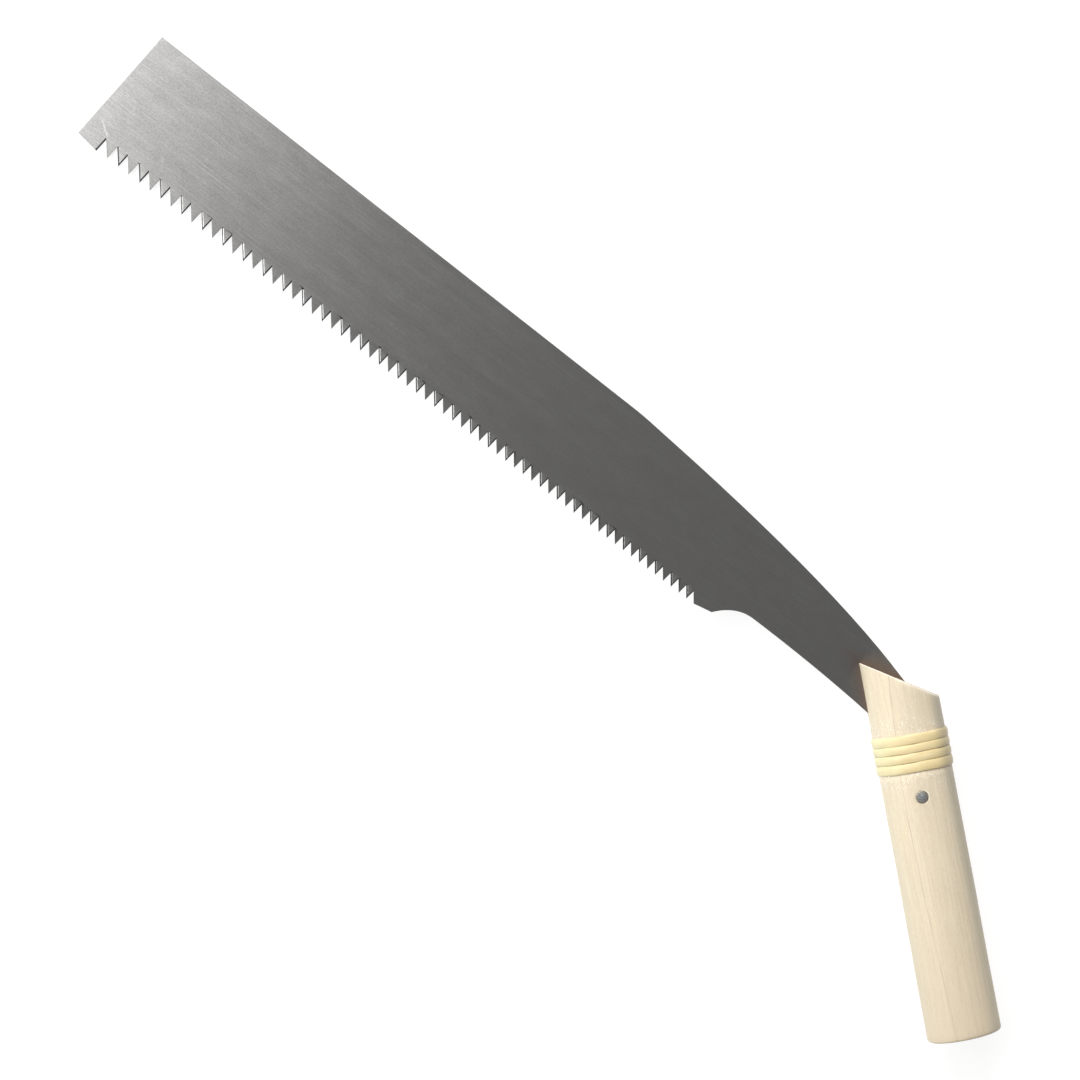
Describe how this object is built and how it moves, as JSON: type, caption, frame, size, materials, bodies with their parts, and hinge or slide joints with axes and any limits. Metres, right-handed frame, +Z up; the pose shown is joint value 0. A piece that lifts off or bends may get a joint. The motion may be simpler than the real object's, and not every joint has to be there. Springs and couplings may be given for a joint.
{
  "type": "hand saw",
  "caption": "Pull saw: coarse toothed steel plate with a tang riveted into the split end of an angled round wooden stick, bound with cane.",
  "frame": {"origin": "on the bench under the middle of the saw's box, as the saw lies on its toe and its cane binding", "axes": "+X from the toe along the tooth tips to the handle, +Y from the teeth to the spine, +Z up; the plate rises 2.09 degrees towards +X"},
  "size_m": [0.531, 0.1398, 0.0351],
  "materials": {
    "ground_steel": "ground lengthwise, fine scratches",
    "pale_wood": "bare, sanded, fine straight grain",
    "split_cane": "half-round rattan cane, satin",
    "dark_steel": "hammered rivet head, dark"
  },
  "bodies": {
    "root": {"saw_blade": "ground_steel", "handle": "pale_wood", "rattan_wrap": "split_cane", "rivet": "dark_steel"}
  },
  "joints": []
}
